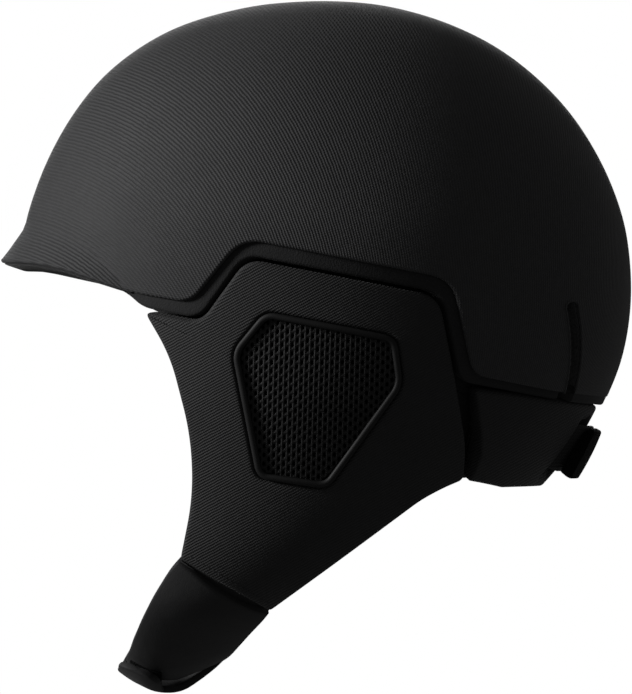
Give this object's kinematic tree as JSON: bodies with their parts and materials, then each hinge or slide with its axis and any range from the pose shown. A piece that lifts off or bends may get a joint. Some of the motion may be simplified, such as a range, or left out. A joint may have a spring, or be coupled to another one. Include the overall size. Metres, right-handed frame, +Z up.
{
  "type": "water helmet",
  "caption": "Soft water-sports impact cap with a flared peak, ribbed shell, hinged ear flaps with perforated vents, chin strap and adjustable nape.",
  "frame": {"origin": "centre of the head opening, midway between the ear flaps at temple height", "axes": "+Z up, the peak points along -Y, the wearer's left is +X"},
  "size_m": [0.1898, 0.2522, 0.2764],
  "materials": {
    "ribbed_fabric": "matte ribbed weave",
    "smooth_fabric": "matte knit",
    "foam": "closed-cell foam",
    "neoprene": "matte",
    "vent_plastic": "satin",
    "mesh": "open mesh",
    "hook_and_loop": "napped",
    "webbing": "woven"
  },
  "bodies": {
    "shell": {"shell_cover": "ribbed_fabric", "impact_foam": "foam", "edge_band": "smooth_fabric", "rear_edge_band": "smooth_fabric", "inner_liner": "smooth_fabric", "slot_insert_left": "neoprene", "slot_insert_right": "neoprene", "peak_core": "ribbed_fabric", "peak_lip": "ribbed_fabric", "peak_lining": "smooth_fabric", "forehead_pad": "smooth_fabric", "rear_pad": "smooth_fabric", "crown_pad": "smooth_fabric", "side_pad_left": "smooth_fabric", "side_pad_right": "smooth_fabric", "flap_hinge_strip_left": "neoprene", "flap_hinge_strip_right": "neoprene", "nape_gusset_left": "neoprene", "nape_gusset_right": "neoprene"},
    "ear_flap_left": {"ear_flap_cover_left": "ribbed_fabric", "ear_flap_foam_left": "foam", "ear_flap_lining_left": "smooth_fabric", "ear_vent_rim_left": "vent_plastic", "ear_vent_grille_left": "vent_plastic", "ear_mesh_left": "mesh", "ear_pad_left": "smooth_fabric"},
    "ear_flap_right": {"ear_flap_cover_right": "ribbed_fabric", "ear_flap_foam_right": "foam", "ear_flap_lining_right": "smooth_fabric", "ear_vent_rim_right": "vent_plastic", "ear_vent_grille_right": "vent_plastic", "ear_mesh_right": "mesh", "ear_pad_right": "smooth_fabric"},
    "chin_strap_left": {"chin_strap_left": "neoprene", "chin_loop_patch": "hook_and_loop"},
    "chin_strap_right": {"chin_strap_right": "neoprene", "chin_hook_patch": "hook_and_loop"},
    "nape_left": {"nape_cover_left": "ribbed_fabric", "nape_foam_left": "foam", "nape_lining_left": "smooth_fabric"},
    "nape_right": {"nape_cover_right": "ribbed_fabric", "nape_foam_right": "foam", "nape_lining_right": "smooth_fabric"},
    "rear_strap": {"rear_strap": "webbing", "nape_elastic": "webbing"},
    "rear_pull_tab": {"rear_pull_tab": "hook_and_loop"}
  },
  "joints": [
    {"name": "ear_flap_left", "type": "hinge", "parent": "shell", "child": "ear_flap_left", "pos_m": [0.0936, 0.005, -0.0112], "axis": [0, -0.9818, 0.1898], "range_deg": [0, 9], "stiffness_Nm_per_rad": 1, "springref_deg": -2.86, "deforming": ["flap_hinge_strip_left", "nape_gusset_left"]},
    {"name": "ear_flap_right", "type": "hinge", "parent": "shell", "child": "ear_flap_right", "pos_m": [-0.0936, 0.005, -0.0112], "axis": [0, 0.9818, -0.1898], "range_deg": [0, 9], "stiffness_Nm_per_rad": 1, "springref_deg": -2.86, "deforming": ["flap_hinge_strip_right", "nape_gusset_right"]},
    {"name": "chin_strap_right", "type": "hinge", "parent": "ear_flap_right", "child": "chin_strap_right", "pos_m": [-0.0605, -0.0417, -0.1356], "axis": [0, 0.8488, -0.5288], "range_deg": [0, 30]},
    {"name": "chin_strap_left", "type": "hinge", "parent": "ear_flap_left", "child": "chin_strap_left", "pos_m": [0.0605, -0.0417, -0.1356], "axis": [0, -0.8488, 0.5288], "range_deg": [0, 9]},
    {"name": "nape_left", "type": "hinge", "parent": "shell", "child": "nape_left", "pos_m": [0.088, 0.058, -0.075], "axis": [0, 0, 1], "range_deg": [0, 4], "deforming": ["nape_elastic"]},
    {"name": "nape_right", "type": "hinge", "parent": "shell", "child": "nape_right", "pos_m": [-0.088, 0.058, -0.075], "axis": [0, 0, -1], "range_deg": [0, 4]},
    {"name": "rear_strap_tighten", "type": "slide", "parent": "shell", "child": "rear_strap", "axis": [0, -1, 0], "range_m": [0, 0.004]},
    {"name": "rear_tab_peel", "type": "hinge", "parent": "rear_strap", "child": "rear_pull_tab", "pos_m": [-0.0215, 0.09667, -0.081], "axis": [0, 0.5904, 0.8071], "range_deg": [0, 60]}
  ],
  "couplings": [
    {"joint": "ear_flap_right", "follows": "chin_strap_right", "ratio": 0.3},
    {"joint": "ear_flap_left", "follows": "chin_strap_right", "ratio": 0.3},
    {"joint": "chin_strap_left", "follows": "chin_strap_right", "ratio": 0.3},
    {"joint": "nape_right", "follows": "nape_left", "ratio": 1},
    {"joint": "rear_strap_tighten", "follows": "nape_left", "m_per_rad": 0.055}
  ]
}
